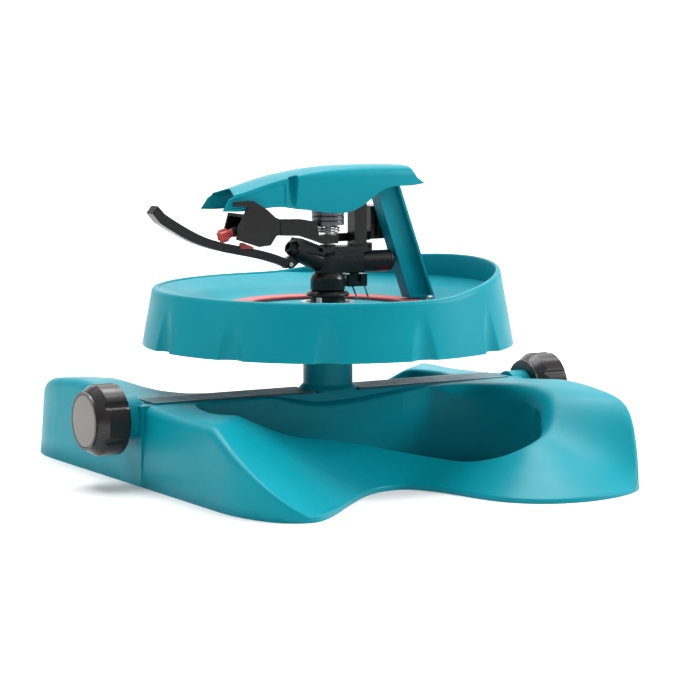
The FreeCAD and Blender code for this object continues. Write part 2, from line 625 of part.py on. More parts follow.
def make_deflector():
    """Long curved strap under the jet, hinged below the nozzle."""
    lower = Part.BSplineCurve()
    lower.interpolate([Vector(x, 0, z) for x, z in
                       [(-26, 111), (-36, 114.6), (-46, 117.2), (-64, 121), (-82, 126.4),
                        (-95, 132.6), (-104.5, 138.5)]])
    upper = Part.BSplineCurve()
    upper.interpolate([Vector(x, 0, z) for x, z in
                       [(-101.5, 143.2), (-88, 135), (-75.6, 129.2), (-60.5, 125.2), (-46.5, 122.2),
                        (-36, 119.4), (-26, 115.4)]])
    tip = [Vector(-104.5, 0, 138.5), Vector(-108.8, 0, 143.5), Vector(-105.6, 0, 147.6),
           Vector(-101.5, 0, 143.2)]
    root = Part.makeLine(Vector(-26, 0, 115.4), Vector(-26, 0, 111))
    edges = [lower.toShape()] + [Part.makeLine(a, b) for a, b in zip(tip, tip[1:])]
    outline = Part.Wire(edges + [upper.toShape(), root])
    width = cell("deflect_width")
    strap = Part.Face(outline).extrude(Vector(0, width, 0))
    strap.translate(Vector(0, -width / 2, 0))
    pivot = Vector(cell("deflect_x"), -width / 2, cell("deflect_z"))
    eye = Part.makeCylinder(2.4, width, pivot, Vector(0, 1, 0))
    bore = Part.makeCylinder(1.27, width, pivot, Vector(0, 1, 0))
    slot = Part.makeBox(16, 4.4, 20, Vector(-31, -2.2, 105))
    pad_room = Part.makeBox(8.4, 2.2, 6, Vector(-56.4, -width / 2 - 0.1, 122.6))
    shape = strap.fuse(eye).cut(bore).cut(slot).cut(pad_room).removeSplitter()
    node("deflector_arm", shape_node("deflector_arm", shape))
    node("deflector_insert", side_slab([(-56.3, 122.7), (-48.1, 122.7), (-48.4, 123.6), (-55, 126.2),
                                        (-56.3, 125.8)], -4, -2))
    node("deflector_pin", cylinder(1.2, 9.6, ("deflect_x", -4.8, "deflect_z"), "Y"))


# ---------------------------------------------------------------- trip and pawl

def make_trip():
    block = box((11.1, -4.3, 99.2), (22.7, 4.3, 105.9))
    slot = box((15, -5, 100.9), (18.8, 5, 110))
    bore = cylinder(1.05, 20, (10, 0, 104.2), "X")
    node("trip_block", cut(block, slot, bore))
    node("trip_pin", cylinder(1, 11.2, (11.3, 0, 104.2), "X"))
    wires = [rod((14.4, -2.6, 99.1), (17.2, -2.6, 92.3), 0.55),
             rod((22.0, -2.6, 99.1), (24.4, -2.6, 92.3), 0.55)]
    node("trip_wires", group(*wires))


def make_pawl():
    """Small lever beside the bridge column that the trip raises under the arm."""
    node("pawl_pin", cylinder(0.9, 8, (24, 2, 121), "Y"))
    eye = cylinder(2, 3, (24, 6.6, 121), "Y")
    finger = side_slab([(22.6, 120), (25.4, 120), (24.9, 122.9), (23.3, 122.9)], 6.6, 9.6)
    node("reversing_pawl", cut(fuse(eye, finger), cylinder(0.95, 20, (24, 0, 121), "Y")))


# ---------------------------------------------------------------- hood and post

# Hood stations: x, half width, height of the ridge.
HOOD_STATIONS = [(-72.5, 12.2, 152.3), (-60, 12.5, 155.5), (-42, 13.0, 159.9), (-20, 13.8, 163.7),
                 (0, 14.4, 165.9), (25, 14.4, 166.3), (44, 13.6, 165.8), (54.6, 12.8, 165.0)]


def hood_section(x, half, top, inset):
    """Boxy arched section across the hood, open downwards and closed by a chord far below."""
    half = half - inset
    top = top - inset
    side = [(half, 132 + (top - 9 - 132) * share / 3) for share in range(4)]
    roof = [(half * 0.95, top - 3.2), (half * 0.6, top - 0.7)]
    near = [(-y, z) for y, z in side + roof]
    points = near + [(0, top)] + roof[::-1] + side[::-1]
    curve = Part.BSplineCurve()
    curve.interpolate([Vector(x, y, z) for y, z in points])
    chord = Part.makeLine(Vector(x, half, 132), Vector(x, -half, 132))
    return Part.Wire([curve.toShape(), chord])


def side_prism(corners):
    """Side-view outline (x, z) drawn right across the hood."""
    points = [Vector(x, -60, z) for x, z in corners]
    return Part.Face(Part.makePolygon(points + [points[0]])).extrude(Vector(0, 120, 0))


def rear_prism(lean, foot):
    """Everything behind a leaning line through the foot, up from the skirt."""
    top = foot - lean * 1.5
    return side_prism([(foot.x, foot.z), (top.x, top.z), (80, top.z), (80, foot.z)])


def hood_flutes(radius):
    spots = [(-29, side * 15) for side in (-1, 1)]
    return [Part.makeCylinder(radius, 40, Vector(x, y, 130)) for x, y in spots]


def make_hood():
    wall = cell("hood_wall")
    outer = Part.makeLoft([hood_section(*station, 0) for station in HOOD_STATIONS], True)
    ends = [(HOOD_STATIONS[0][0] - 1,) + HOOD_STATIONS[0][1:]] + HOOD_STATIONS[1:-1]
    ends.append((HOOD_STATIONS[-1][0] - wall,) + HOOD_STATIONS[-1][1:])
    inner = Part.makeLoft([hood_section(*station, wall) for station in ends], True)
    for flute in hood_flutes(3.4 + wall):
        inner = inner.cut(flute)
    # The rear end leans forward from the skirt to the ridge.
    lean = Vector(11, 0, -9.5)
    inner = inner.cut(rear_prism(lean, Vector(54.6 - 1.4 * wall, 0, 155.5)))
    shell = outer.cut(rear_prism(lean, Vector(54.6, 0, 155.5))).cut(inner)
    for flute in hood_flutes(3.4):
        shell = shell.cut(flute)
    below = side_prism([(-90, 120), (-90, 144), (-72, 144), (-60, 143.6), (-40, 145.2), (-28, 144.4),
                        (-18, 142.7), (-8, 141.2), (2, 140.9), (8, 142), (13, 144.1), (20, 148.6),
                        (25.5, 152), (33, 154.2), (44, 154.2), (54.6, 155.5), (70, 155.5), (70, 120)])
    mouth = side_prism([(-90, 170), (-90, 140), (-72, 144), (-68.2, 150), (-61, 155.4), (-61, 170)])
    bosses = [Part.makeCylinder(3.2, 14, Vector(10, 0, 151.1)).common(outer),
              Part.makeCylinder(2.8, 8, Vector(26, 4.5, 160.1)).common(outer),
              Part.makeCylinder(2.8, 8, Vector(26, -4.5, 160.1)).common(outer)]
    shape = shell.cut(below).cut(mouth).fuse(bosses)
    for x, y, z in ((10, 0, 150), (26, 4.5, 158), (26, -4.5, 158)):
        shape = shape.cut(Part.makeCylinder(cell("screw_shank") + 0.05, 4.6 + 3, Vector(x, y, z)))
    node("hood", shape_node("hood", shape.removeSplitter()))
    screws = [screw((10, 0, 147.9), "Z", 9), screw((26, 4.5, 157.9), "Z", 5.5),
              screw((26, -4.5, 157.9), "Z", 5.5)]
    node("hood_screws", group(*screws))


def make_post():
    """Sloping post that carries the hood: a web with flanges, its foot reaching over the sector ring."""
    outline = [(30.5, 147), (29.1, 151), (29.1, 160), (41.5, 160), (66.5, 91), (66.3, 88.5), (57, 88.5),
               (57, 91), (50.5, 91)]
    recess = [(32, 147), (30.6, 151), (30.6, 156.2), (41.1, 156.2), (64.3, 92.6), (51.5, 92.6)]
    half = "post_width_half"
    bar = side_slab(outline, f"-{half}", half)
    front = side_slab(recess, f"-{half} - 1", f"3 - {half}")
    back = side_slab(recess, f"3 + post_wall - {half}", f"{half} + 1")
    plate = box((22.5, -7.6, 158), (40, 7.6, 160))
    foot = box((57.2, -10.6, 88.45), (65.6, 10.6, 90.4))
    holes = [cylinder("screw_shank + 0.05", 10, (x, y, z)) for x, y, z in
             ((26, 4.5, 155), (26, -4.5, 155), (61, 7.6, 85), (61, -7.6, 85))]
    node("rear_post", cut(fuse(cut(bar, front, back), plate, foot), *holes))
    screws = [screw((61, y, 90.45), "-Z", 1.9) for y in (-7.6, 7.6)]
    node("post_screws", group(*screws))


# ---------------------------------------------------------------- build, check, write

def check(thing):
    states = [item for item in thing.State if item in ("Invalid", "Error")]
    if states:
        raise RuntimeError(f"{thing.Label}: {states}")


def write_parts():
    os.makedirs("parts", exist_ok=True)
    for item in DOC.Objects:
        check(item)
    for thing in NODES:
        shape = thing.Shape
        if shape.isNull() or not shape.isValid() or not shape.Solids:
            raise RuntimeError(f"{thing.Label}: no valid solid")
        shape.exportStep(f"parts/{thing.Label}.step")


def main():
    fill_sheet()
    make_skids()
    make_beam()
    make_strips()
    make_column()
    make_bearing()
    make_end_cap()
    make_coupling()
    make_dish()
    make_sector_ring()
    make_sector_collar()
    make_head_body()
    make_nozzle()
    make_fulcrum()
    make_arm()
    make_counterweight()
    make_spoon()
    make_knob()
    make_deflector()
    make_trip()
    make_pawl()
    make_hood()
    make_post()
    DOC.recompute()
    write_parts()


main()
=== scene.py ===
import json
import math

import bmesh
import bpy
import numpy as np
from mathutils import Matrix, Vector
from mathutils.geometry import delaunay_2d_cdt


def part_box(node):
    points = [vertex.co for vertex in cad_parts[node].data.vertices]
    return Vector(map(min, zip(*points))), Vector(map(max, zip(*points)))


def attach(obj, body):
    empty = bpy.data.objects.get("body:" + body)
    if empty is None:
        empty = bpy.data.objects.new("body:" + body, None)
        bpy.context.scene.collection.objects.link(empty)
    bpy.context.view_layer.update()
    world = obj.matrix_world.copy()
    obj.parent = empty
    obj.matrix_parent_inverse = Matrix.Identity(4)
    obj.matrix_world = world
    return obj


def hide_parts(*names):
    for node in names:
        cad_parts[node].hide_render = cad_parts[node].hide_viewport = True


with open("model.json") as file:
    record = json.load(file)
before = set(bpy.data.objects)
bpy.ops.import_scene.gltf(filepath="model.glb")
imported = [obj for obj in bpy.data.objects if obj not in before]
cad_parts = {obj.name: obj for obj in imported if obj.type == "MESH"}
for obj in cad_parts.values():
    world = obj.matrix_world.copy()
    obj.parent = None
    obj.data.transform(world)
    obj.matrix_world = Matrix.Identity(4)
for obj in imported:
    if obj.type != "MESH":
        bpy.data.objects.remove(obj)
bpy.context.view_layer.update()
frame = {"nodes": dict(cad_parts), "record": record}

MM = 0.001
WELD = 0.002 * MM
BODY_OF = {}
for body_name, members in frame["record"]["behaviour"]["bodies"].items():
    for member in members:
        BODY_OF[member] = body_name
SLOT_OF = {part["node"]: part["material_slot"] for part in frame["record"]["subparts"]}


def corners_mm(node):
    """Lowest and highest corner of a CAD node."""
    low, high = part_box(node)
    return np.array(low) / MM, np.array(high) / MM


# ---------------------------------------------------------------- materials

def noise_node(tree, coords, scale, detail, roughness=0.55):
    """Grey noise of this many cells per metre."""
    noise = tree.nodes.new("ShaderNodeTexNoise")
    noise.inputs["Scale"].default_value = scale
    noise.inputs["Detail"].default_value = detail
    noise.inputs["Roughness"].default_value = roughness
    tree.links.new(coords, noise.inputs["Vector"])
    return noise.outputs["Fac"]


def spread(tree, value, low, high, start=0.3, end=0.7):
    """Value remapped from start..end to low..high."""
    remap = tree.nodes.new("ShaderNodeMapRange")
    for label, size in (("From Min", start), ("From Max", end), ("To Min", low), ("To Max", high)):
        remap.inputs[label].default_value = size
    tree.links.new(value, remap.inputs["Value"])
    return remap.outputs["Result"]


def stretched(tree, coords, stretch):
    """Coordinates scaled differently along each axis."""
    mapping = tree.nodes.new("ShaderNodeMapping")
    mapping.inputs["Scale"].default_value = stretch
    tree.links.new(coords, mapping.inputs["Vector"])
    return mapping.outputs["Vector"]


def mixed_color(tree, share, low, high):
    """Colour that runs from low to high with share."""
    mix = tree.nodes.new("ShaderNodeMix")
    mix.data_type = "RGBA"
    mix.inputs["A"].default_value = (*low, 1)
    mix.inputs["B"].default_value = (*high, 1)
    tree.links.new(share, mix.inputs["Factor"])
    return mix.outputs["Result"]


BLOTCHES = 22
PATCHES = 70
SCRATCH_STRETCH = (260, 260, 1400)
SCRATCH_DETAIL = 5
SCRATCH_ROUGHNESS = 0.7


def surface(name, color, roughness, grain, depth, mottle, metal=0.0, sheen=0.5, scuffs=0.06,
            stretch=SCRATCH_STRETCH):
    """Moulded plastic, rubber or metal: mottled colour, uneven gloss, fine grain and faint scuffs.

    grain is the size of the surface texture and depth its height, both in millimetres.
    mottle is the colour's variation, sheen the strength of the reflection, scuffs the added roughness.
    """
    material = bpy.data.materials.new(name)
    material.use_nodes = True
    tree = material.node_tree
    shader = tree.nodes["Principled BSDF"]
    shader.inputs["Metallic"].default_value = metal
    shader.inputs["Specular IOR Level"].default_value = sheen
    coords = tree.nodes.new("ShaderNodeTexCoord").outputs["Object"]
    broad = noise_node(tree, coords, BLOTCHES, 4)
    low = [channel * (1 - mottle) for channel in color]
    high = [min(1, channel * (1 + mottle)) for channel in color]
    tree.links.new(mixed_color(tree, spread(tree, broad, 0, 1), low, high), shader.inputs["Base Color"])
    scratches = noise_node(tree, stretched(tree, coords, stretch), 1, SCRATCH_DETAIL, SCRATCH_ROUGHNESS)
    patches = noise_node(tree, coords, PATCHES, 3)
    joined = tree.nodes.new("ShaderNodeMath")
    joined.operation = "ADD"
    tree.links.new(spread(tree, scratches, 0, scuffs, 0.58, 0.8), joined.inputs[0])
    tree.links.new(spread(tree, patches, roughness - 0.04, roughness + 0.05), joined.inputs[1])
    tree.links.new(joined.outputs["Value"], shader.inputs["Roughness"])
    bump = tree.nodes.new("ShaderNodeBump")
    bump.inputs["Strength"].default_value = 1
    bump.inputs["Distance"].default_value = depth * MM
    tree.links.new(noise_node(tree, coords, 1 / (grain * MM), 2), bump.inputs["Height"])
    tree.links.new(bump.outputs["Normal"], shader.inputs["Normal"])
    return material


TEAL = (0.0005, 0.268, 0.335)
MATERIALS = {
    "turquoise": surface("turquoise_plastic", TEAL, 0.38, 0.6, 0.012, 0.05, sheen=0.14),
    "grey_strip": surface("ribbed_strip", (0.035, 0.130, 0.165), 0.42, 0.4, 0.02, 0.10),
    "black": surface("black_plastic", (0.007, 0.0066, 0.007), 0.27, 0.3, 0.006, 0.12, sheen=0.36,
                     scuffs=0.03),
    "brown_black": surface("cap_plastic", (0.016, 0.0135, 0.013), 0.25, 0.4, 0.008, 0.10, sheen=0.4,
                           scuffs=0.03),
    "grey_disc": surface("cap_disc_plastic", (0.20, 0.185, 0.165), 0.40, 0.4, 0.012, 0.08),
    "coral": surface("coral_plastic", (0.56, 0.060, 0.055), 0.38, 0.4, 0.012, 0.06),
    "pale_grey": surface("pale_acetal", (0.50, 0.53, 0.50), 0.42, 0.4, 0.012, 0.05),
    "silver": surface("turned_metal", (0.13, 0.13, 0.145), 0.28, 0.3, 0.006, 0.06, metal=0.95,
                      stretch=(60, 60, 3000)),
    "steel": surface("steel_wire", (0.45, 0.44, 0.43), 0.24, 0.3, 0.004, 0.05, metal=1.0),
    "rubber": surface("seal_rubber", (0.018, 0.018, 0.018), 0.62, 0.4, 0.02, 0.15),
    "zinc": surface("zinc_plate", (0.55, 0.56, 0.56), 0.34, 0.5, 0.01, 0.10, metal=1.0),
}


# ---------------------------------------------------------------- mesh helpers

def mesh_object(name, points, faces, sharp_degrees=45):
    """Object from points in millimetres, smooth shaded with sharp edges kept sharp."""
    mesh = bpy.data.meshes.new(name)
    mesh.from_pydata([tuple(p) for p in np.asarray(points) * MM], [], faces)
    mesh.validate()
    thing = bpy.data.objects.new(name, mesh)
    bpy.context.scene.collection.objects.link(thing)
    finish_mesh(mesh, sharp_degrees)
    return thing


def finish_mesh(mesh, sharp_degrees):
    """Welds the mesh, turns its faces outwards and shades it smooth between its sharp edges."""
    work = bmesh.new()
    work.from_mesh(mesh)
    bmesh.ops.remove_doubles(work, verts=work.verts, dist=WELD)
    bmesh.ops.recalc_face_normals(work, faces=work.faces)
    work.to_mesh(mesh)
    work.free()
    mesh.shade_smooth()
    mesh.set_sharp_from_angle(angle=math.radians(sharp_degrees))


def grid_faces(rows, columns, wrap=False):
    """Quads of a rows x columns lattice; wrap joins the last column to the first."""
    faces = []
    for i in range(rows - 1):
        for j in range(columns if wrap else columns - 1):
            k = (j + 1) % columns
            faces.append((i * columns + j, i * columns + k, (i + 1) * columns + k, (i + 1) * columns + j))
    return faces


def thicken(thing, wall, even=True):
    """Gives an open shell its wall, on the inside. even keeps the wall's thickness at sharp corners."""
    solid = thing.modifiers.new("wall", "SOLIDIFY")
    solid.thickness = wall * MM
    solid.offset = -1
    solid.use_even_offset = even
    solid.thickness_clamp = 1


def stand_for(thing, *nodes):
    """thing is shown for these CAD nodes, on their body and in their finish."""
    slot = SLOT_OF[nodes[0]]
    thing.data.materials.clear()
    thing.data.materials.append(MATERIALS[slot])
    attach(thing, BODY_OF[nodes[0]])
    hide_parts(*nodes)


SHARP_EDGE = 28


def soften(node, width, wide_edges=None, wide=0.0):
    """Copy of a CAD node with its edges rounded by width, and by wide where wide_edges says so."""
    work = bmesh.new()
    work.from_mesh(frame["nodes"][node].data)
    bmesh.ops.remove_doubles(work, verts=work.verts, dist=WELD)
    bmesh.ops.dissolve_limit(work, angle_limit=math.radians(0.6), verts=work.verts, edges=work.edges)
    if wide_edges:
        round_edges(work, wide_edges, wide, 5)
    round_edges(work, lambda middle: True, width, 2)
    mesh = bpy.data.meshes.new(node + "_soft")
    work.to_mesh(mesh)
    work.free()
    mesh.shade_smooth()
    mesh.set_sharp_from_angle(angle=math.radians(40))
    thing = bpy.data.objects.new(node + "_soft", mesh)
    bpy.context.scene.collection.objects.link(thing)
    weighted = thing.modifiers.new("normals", "WEIGHTED_NORMAL")
    weighted.keep_sharp = True
    stand_for(thing, node)


def round_edges(work, test, width, segments):
    """Bevels the sharp edges whose middle, in millimetres, passes the test."""
    edges = []
    for edge in work.edges:
        if len(edge.link_faces) != 2 or edge.calc_face_angle(0) < math.radians(SHARP_EDGE):
            continue
        middle = (edge.verts[0].co + edge.verts[1].co) / 2 / MM
        if test(middle):
            edges.append(edge)
    bmesh.ops.bevel(work, geom=edges, offset=width * MM, segments=segments, profile=0.5,
                    affect="EDGES", clamp_overlap=True)


def smooth_step(low, high, value):
    """0 below low, 1 above high and a smooth ramp between."""
    share = np.clip((value - low) / (high - low), 0, 1)
    return share * share * (3 - 2 * share)


def cubic(points, count):
    """Natural cubic spline through the points, sampled evenly."""
    points = np.array(points, float)
    steps = np.linalg.norm(np.diff(points, axis=0), axis=1)
    knots = np.concatenate([[0], np.cumsum(steps)])
    total = len(points)
    system = np.eye(total)
    target = np.zeros_like(points)
    for i in range(1, total - 1):
        system[i, i - 1:i + 2] = steps[i - 1], 2 * (steps[i - 1] + steps[i]), steps[i]
        target[i] = 6 * ((points[i + 1] - points[i]) / steps[i] - (points[i] - points[i - 1]) / steps[i - 1])
    bend = np.linalg.solve(system, target)
    where = np.linspace(0, knots[-1], count)
    span = np.clip(np.searchsorted(knots, where) - 1, 0, total - 2)
    step = steps[span][:, None]
    after = (where - knots[span])[:, None] / step
    before = 1 - after
    return (before * points[span] + after * points[span + 1]
            + step ** 2 / 6 * ((before ** 3 - before) * bend[span] + (after ** 3 - after) * bend[span + 1]))


# ---------------------------------------------------------------- skids

FOOT_LINE = [(-121, -96), (-120.4, -110), (-116, -129), (-106, -145), (-95, -150), (-83, -144),
             (-61, -123), (-38, -101), (-18, -89), (-3, -90), (6, -104), (12, -127), (20, -149),
             (35, -163), (56, -168), (80, -164), (99, -153), (112.5, -135), (119.5, -116), (121, -100)]
APRON_LINE = [(-140, -184), (-97, -151)] + FOOT_LINE[6:17]
GRIP_LINE = [(-93, -18), (-98, -40), (-92, -59), (-74, -62), (-48, -54), (-22, -48), (2, -58),
             (20, -78), (33, -104), (48, -115), (66, -109), (82, -90), (87, -62), (78, -33), (56, -18)]
BEAM_TOP = corners_mm("deck_strips")[1][2] - 1
BEAM_SIDE = corners_mm("front_skid")[1][1]
SKID_WALL = 2.6
SKID_END = 121
SKID_STEP = 1.3
WALL_SHARES = (0, 0.33, 0.66, 1)
LOWEST_DECK = 1.6
DRAFT = 0.025 / 60
APRON_POINTS = cubic(APRON_LINE, 260)


def sharp_deck(x, y):
    """Top of the skid: a nearly flat deck that falls away as an apron to the foot line."""
    reach = np.full(x.shape, np.inf)
    for px, py in APRON_POINTS:
        reach = np.minimum(reach, np.hypot(px - x, py - y))
    edge = np.interp(x, APRON_POINTS[:, 0], APRON_POINTS[:, 1])
    reach = np.where((y < edge) & (x > -20), -reach, reach)
    # The apron is gentler round the big foot than round the small one, and steepest at the big foot's end.
    slope = 0.62 - 0.14 * smooth_step(-80, -10, x) + 0.9 * smooth_step(70, SKID_END, x)
    apron = 2.5 + slope * reach
    # The deck rises at the big foot's side and drops a little at the small foot's outer corner.
    crown = np.exp(-(((x - 118) / 45) ** 2) - ((y + 72) / 38) ** 2)
    dip = smooth_step(60, 115, -x) * smooth_step(13, 60, -y)
    flat = BEAM_TOP + 5 * crown - 1.5 * dip
    blend = 0.9 + 1.5 * smooth_step(-60, 0, x)
    return -blend * np.logaddexp(-flat / blend, -apron / blend)


def blurred(values, reach):
    """Height field averaged over a Gaussian of this many cells, along both its axes."""
    width = 3 * reach
    weights = np.exp(-0.5 * (np.arange(-width, width + 1) / reach) ** 2)
    weights /= weights.sum()
    for _ in range(2):
        padded = np.pad(values, ((width, width), (0, 0)), "edge")
        values = sum(weight * padded[k:k + len(values)] for k, weight in enumerate(weights)).T
    return values


DECK_STEP = 2.0
DECK_X = np.arange(-20, 150, DECK_STEP)
DECK_Y = np.arange(-210, 12, DECK_STEP)
SOFT_DECK = blurred(sharp_deck(*np.meshgrid(DECK_X, DECK_Y, indexing="ij")), 4)


def soft_deck(x, y):
    """Blurred deck height, read between the lattice's points."""
    column = np.clip((x - DECK_X[0]) / DECK_STEP, 0, len(DECK_X) - 1.001)
    row = np.clip((y - DECK_Y[0]) / DECK_STEP, 0, len(DECK_Y) - 1.001)
    i, j = column.astype(int), row.astype(int)
    u, v = column - i, row - j
    low = SOFT_DECK[i, j] * (1 - v) + SOFT_DECK[i, j + 1] * v
    high = SOFT_DECK[i + 1, j] * (1 - v) + SOFT_DECK[i + 1, j + 1] * v
    return low * (1 - u) + high * u


def deck_height(x, y):
    """Deck with crisp creases round the small foot and none round the big foot."""
    share = smooth_step(0, 45, x)
    return np.maximum(sharp_deck(x, y) * (1 - share) + soft_deck(x, y) * share, LOWEST_DECK)


def resampled(loop, step):
    """Closed loop with evenly spaced points; its corners survive to within the step."""
    closed = np.vstack([loop, loop[:1]])
    along = np.concatenate([[0], np.cumsum(np.linalg.norm(np.diff(closed, axis=0), axis=1))])
    where = np.linspace(0, along[-1], int(along[-1] / step), endpoint=False)
    return np.stack([np.interp(where, along, closed[:, k]) for k in range(2)], axis=1)


def ring_average(values, reach):
    """Values along a closed loop, averaged with this many neighbours on either side."""
    total = sum(np.roll(values, shift, axis=0) for shift in range(-reach, reach + 1))
    return total / (2 * reach + 1)


def inward(loop, distances):
    """Loop points moved to their left by distances; real corners are mitred."""
    edge = np.roll(loop, -1, axis=0) - loop
    edge /= np.linalg.norm(edge, axis=1)[:, None]
    normal = np.stack([-edge[:, 1], edge[:, 0]], axis=1)
    before = np.roll(normal, 1, axis=0)
    reach = (distances + np.roll(distances, -1)) / 2
    moved = loop.copy()
    for i in range(len(loop)):
        turn = before[i, 0] * normal[i, 1] - before[i, 1] * normal[i, 0]
        if abs(turn) > 0.5:
            moved[i] += np.linalg.solve(np.array([before[i], normal[i]]), [reach[i - 1], reach[i]])
        else:
            average = before[i] + normal[i]
            moved[i] += average / np.linalg.norm(average) * distances[i]
    return moved


def inside(points, loop):
    """True where a point lies in the closed loop."""
    x, y = points[:, 0], points[:, 1]
    odd = np.zeros(len(points), bool)
    for (ax, ay), (bx, by) in zip(loop, np.roll(loop, -1, axis=0)):
        crosses = (ay > y) != (by > y)
        with np.errstate(divide="ignore", invalid="ignore"):
            at = (bx - ax) * (y - ay) / (by - ay) + ax
        odd ^= crosses & (x < at)
    return odd


def skid_rings(loop, radius, side, levels):
    """Wall rows and a rounded top edge that follow the loop.

    side is 1 for the outline and -1 for the opening; levels are the wall rows' shares of its height.
    """
    edge = inward(loop, side * radius)
    base = deck_height(edge[:, 0], edge[:, 1]) - radius
    rings = [np.column_stack([loop, base * share]) for share in levels]
    for turn in np.linspace(0, math.pi / 2, 8)[1:]:
        place = inward(loop, side * radius * (1 - math.cos(turn)))
        height = deck_height(place[:, 0], place[:, 1]) - radius * (1 - math.sin(turn))
        rings.append(np.column_stack([place, height]))
    return rings


def skid_outline():
    """Foot line closed along the beam, and the radius of the top edge over each of its points."""
    corners = np.array([(SKID_END, BEAM_SIDE), (-SKID_END, BEAM_SIDE)])
    outline = resampled(np.vstack([cubic(FOOT_LINE, 400), corners]), SKID_STEP)
    for corner in corners:
        outline[np.argmin(np.linalg.norm(outline - corner, axis=1))] = corner
    height = deck_height(outline[:, 0], outline[:, 1])
    along_beam = outline[:, 1] > BEAM_SIDE - 0.4
    radius = np.where(along_beam, 0.5, np.minimum(0.6 + 0.105 * height, 5.0))
    return outline, np.where(along_beam, radius, ring_average(radius, 2))


def skid_opening():
    """Grip opening, and the radius of its top edge, which is large at the big foot."""
    opening = resampled(cubic(GRIP_LINE, 400), SKID_STEP)
    for _ in range(3):
        opening = ring_average(opening, 1)
    near_beam = smooth_step(-26, -19, opening[:, 1])
    radius = (2.0 + 7.5 * smooth_step(38, 80, opening[:, 0])) * (1 - near_beam) + 1.0 * near_beam
    return opening, ring_average(radius, 5)


def deck_mesh(outline, opening):
    """Triangles between the outline and the opening, over an even lattice."""
    xs = np.arange(-SKID_END, SKID_END, SKID_STEP)
    ys = np.arange(-170, -13, SKID_STEP)
    lattice = np.array([(x + (row % 2) * SKID_STEP / 2, y) for row, y in enumerate(ys) for x in xs])
    keep = inside(lattice, inward(outline, np.full(len(outline), 0.8)))
    keep &= ~inside(lattice, inward(opening, np.full(len(opening), -0.8)))
    borders = []
    first = 0
    for count in (len(outline), len(opening)):
        borders += [(first + i, first + (i + 1) % count) for i in range(count)]
        first += count
    flat = np.vstack([outline, opening, lattice[keep]])
    result = delaunay_2d_cdt([Vector(p) for p in flat], borders, [], 0, 1e-5)
    spots, triangles = np.array([tuple(v) for v in result[0]]), np.array(result[2])
    middles = spots[triangles].mean(axis=1)
    wanted = inside(middles, outline) & ~inside(middles, opening)
    return np.column_stack([spots, deck_height(spots[:, 0], spots[:, 1])]), triangles[wanted]


def skid_mesh():
    """Points and faces of the front skid's outer skin."""
    outline, radius = skid_outline()
    opening, grip_radius = skid_opening()
    outer = skid_rings(outline, radius, 1, WALL_SHARES)
    inner = skid_rings(opening, grip_radius, -1, WALL_SHARES)
    deck, triangles = deck_mesh(outer[-1][:, :2], inner[-1][:, :2])
    faces = grid_faces(len(outer), len(outline), True)
    start = len(outer) * len(outline)
    faces += [tuple(start + i for i in face) for face in grid_faces(len(inner), len(opening), True)]
    start += len(inner) * len(opening)
    faces += [tuple(int(start + i) for i in triangle) for triangle in triangles]
    points = np.vstack(outer + inner + [deck])
    lean = 1 - DRAFT * points[:, 2]
    points[:, 0] *= lean
    points[:, 1] = BEAM_SIDE + (points[:, 1] - BEAM_SIDE) * lean
    return points, faces


def build_skids():
    """Both skids; the rear one is the front one turned half a turn about the riser."""
    points, faces = skid_mesh()
    front = mesh_object("front_skid_shell", points, faces, 50)
    rear = mesh_object("rear_skid_shell", points * (-1, -1, 1), faces, 50)
    for thing, node in ((front, "front_skid"), (rear, "rear_skid")):
        thicken(thing, SKID_WALL, even=False)
        stand_for(thing, node)


# ---------------------------------------------------------------- splash dish

SKIRT_BOTTOM = corners_mm("splash_dish")[0][2]
RIM_HEIGHT = 100.0
SKIRT_RADIUS = 102.1
WALL_LEAN = 5.7 / 30.9
LIP_START = 20.0
LIP_SLOPE = 15.4 / 90
FLUTES = 12
FLUTE_CENTRE = 107
FLUTE_RADIUS = 9
FLUTE_EDGE = 0.28
NO_FLUTE = 200
MID_WALL = 95
RIM_WALL = 1.6
SKIRT_WALL = 2.4
FLOOR_TOP = 88.3
FLOOR_UNDERSIDE = 85.9
BOWL = [(92.3, 99.4), (88, 97.8), (83, 96.0), (78, 94.0), (73, 91.0), (69, 88.9), (64, FLOOR_TOP)]


def wall_radius(height):
    """Outer radius of the dish's wall, which leans in towards the top."""
    return SKIRT_RADIUS - (height - SKIRT_BOTTOM) * WALL_LEAN


def fluted(radius, angle):
    """Outer wall radius, pressed in by twelve pointed-arch flutes, each a cylinder's hollow."""
    pitch = 2 * math.pi / FLUTES
    offset = (angle + pitch / 2) % pitch - pitch / 2
    across = FLUTE_CENTRE * np.sin(offset)
    flute = FLUTE_CENTRE * np.cos(offset) - np.sqrt(np.maximum(FLUTE_RADIUS ** 2 - across ** 2, 0.01))
    flute = np.where(np.abs(across) < FLUTE_RADIUS - 0.01, flute, NO_FLUTE)
    wall_share = np.exp(-(radius - MID_WALL) / FLUTE_EDGE)
    flute_share = np.exp(-(flute - MID_WALL) / FLUTE_EDGE)
    return MID_WALL - FLUTE_EDGE * np.log(wall_share + flute_share)


